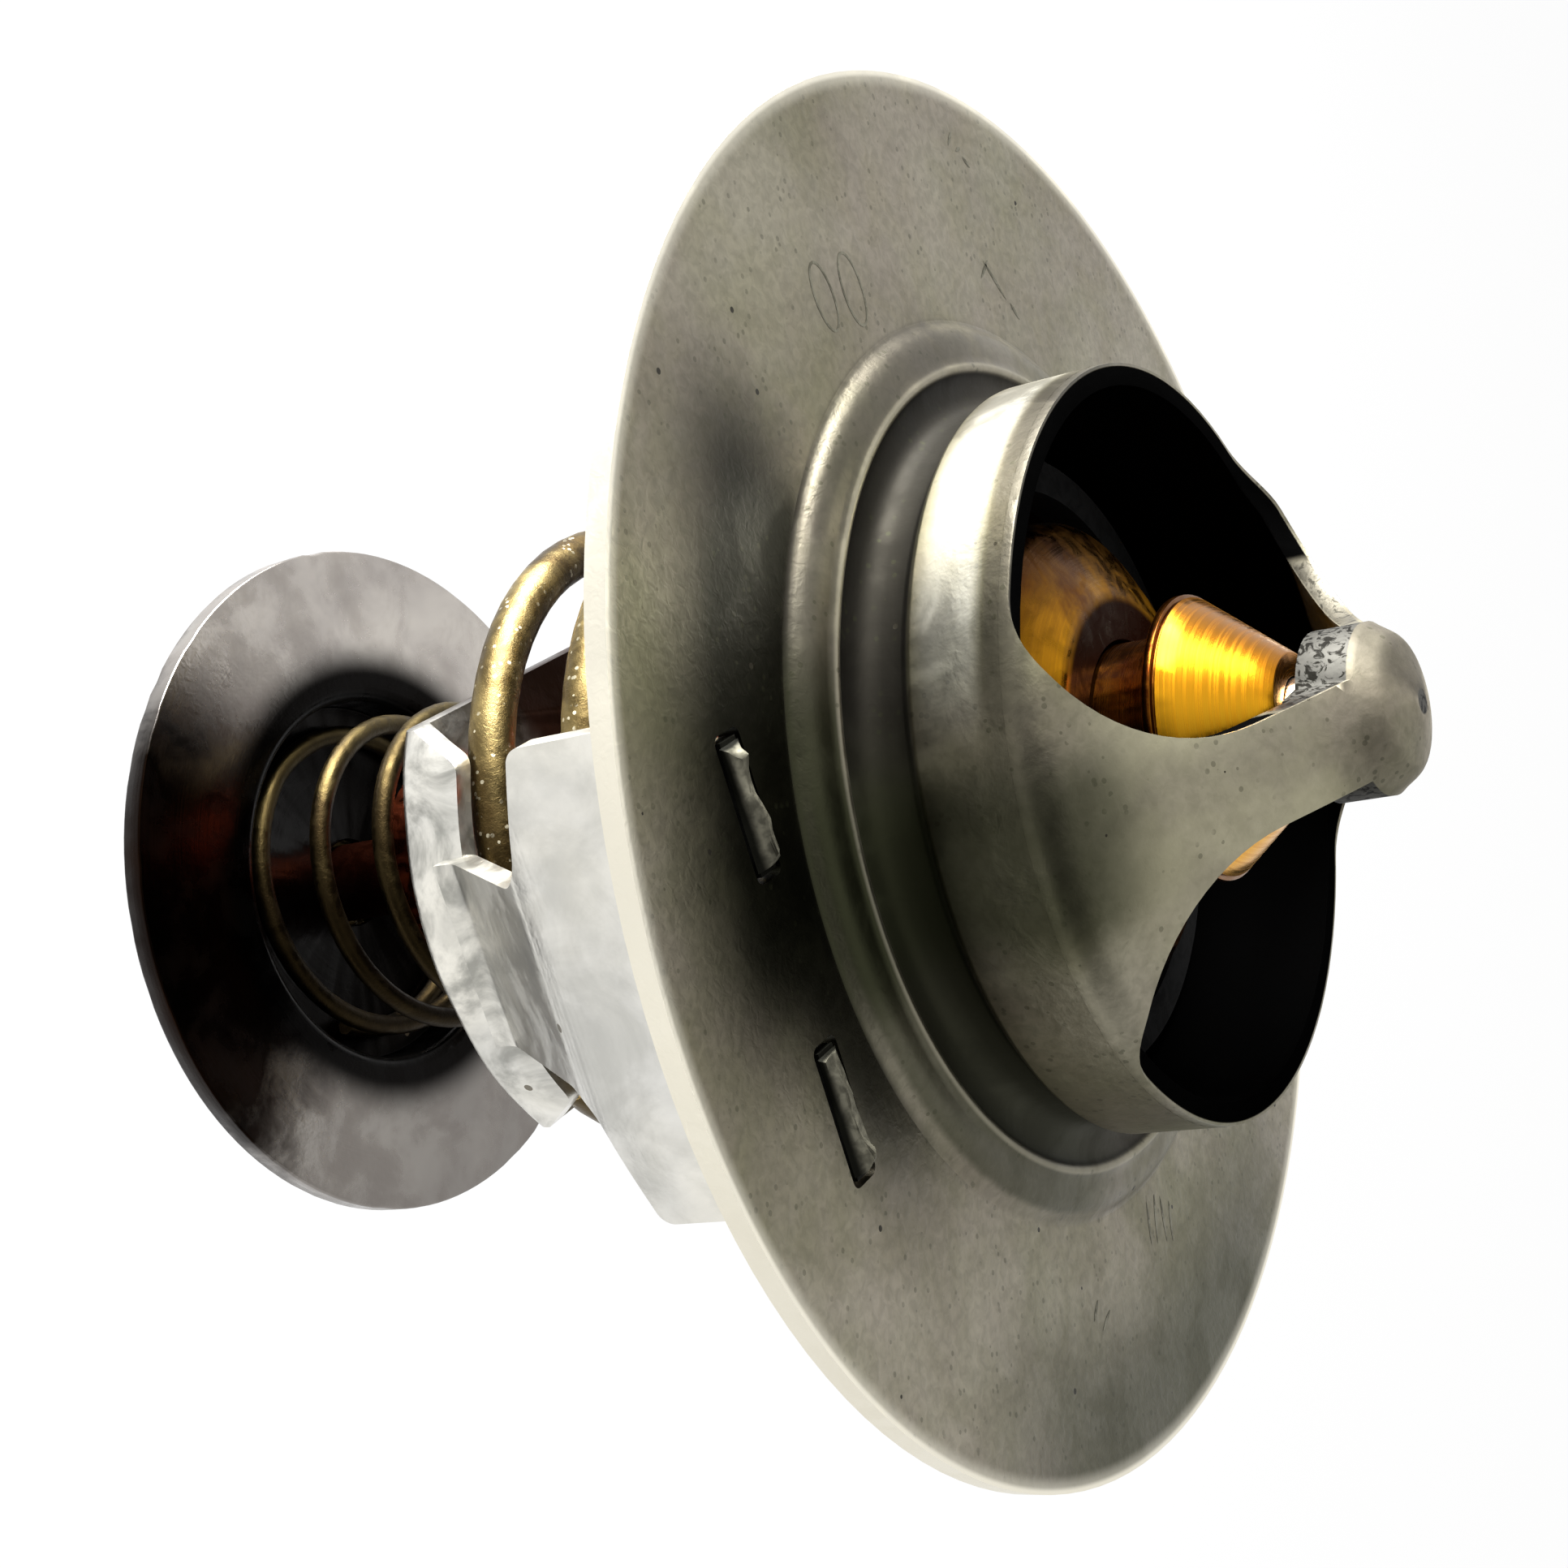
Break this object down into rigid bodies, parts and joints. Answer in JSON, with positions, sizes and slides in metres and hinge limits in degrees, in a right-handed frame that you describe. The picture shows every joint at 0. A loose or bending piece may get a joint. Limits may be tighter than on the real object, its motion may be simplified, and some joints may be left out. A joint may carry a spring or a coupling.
{
  "type": "engine thermostat",
  "caption": "Flange-mounted engine thermostat: a wax element opens the main coolant valve against a spring while its end disc closes the bypass port.",
  "frame": {"origin": "centre of the flange's underside", "axes": "+Z along the axis towards the nose of the bridge, +X through the middle of one bridge arm and one frame leg, +Y through the middle of one window"},
  "size_m": [0.067, 0.067, 0.0662],
  "materials": {
    "stainless": "pressed and brushed",
    "zinc_plate": "bright zinc plate",
    "piston_steel": "ground",
    "white_plastic": "plain",
    "black_rubber": "moulded",
    "brass": "turned",
    "cup_copper": "drawn and tarnished",
    "wax": "waxy",
    "plate_steel": "stamped",
    "spring_steel": "drawn wire with a yellow film",
    "disc_steel": "polished and stained"
  },
  "bodies": {
    "housing": {"flange_bridge": "stainless", "lower_frame": "zinc_plate", "piston": "piston_steel", "thrust_disc": "white_plastic", "rubber_plug": "black_rubber", "main_spring": "spring_steel"},
    "element": {"piston_guide": "brass", "wax_cup": "cup_copper", "wax_charge": "wax", "diaphragm": "black_rubber", "valve_plate": "plate_steel", "valve_seal": "black_rubber", "bypass_stem": "piston_steel", "spring_collar": "plate_steel", "bypass_spring": "spring_steel", "stem_clip": "spring_steel"},
    "bypass": {"bypass_disc": "disc_steel"}
  },
  "joints": [
    {"name": "valve_stroke", "type": "slide", "parent": "housing", "child": "element", "axis": [0, 0, -1], "range_m": [0, 0.008], "stiffness_N_per_m": 8000, "springref_m": -0.01, "deforming": ["main_spring"]},
    {"name": "bypass_relief", "type": "slide", "parent": "element", "child": "bypass", "axis": [0, 0, 1], "range_m": [0, 0.005], "stiffness_N_per_m": 1200, "springref_m": -0.006, "deforming": ["bypass_spring"]}
  ]
}
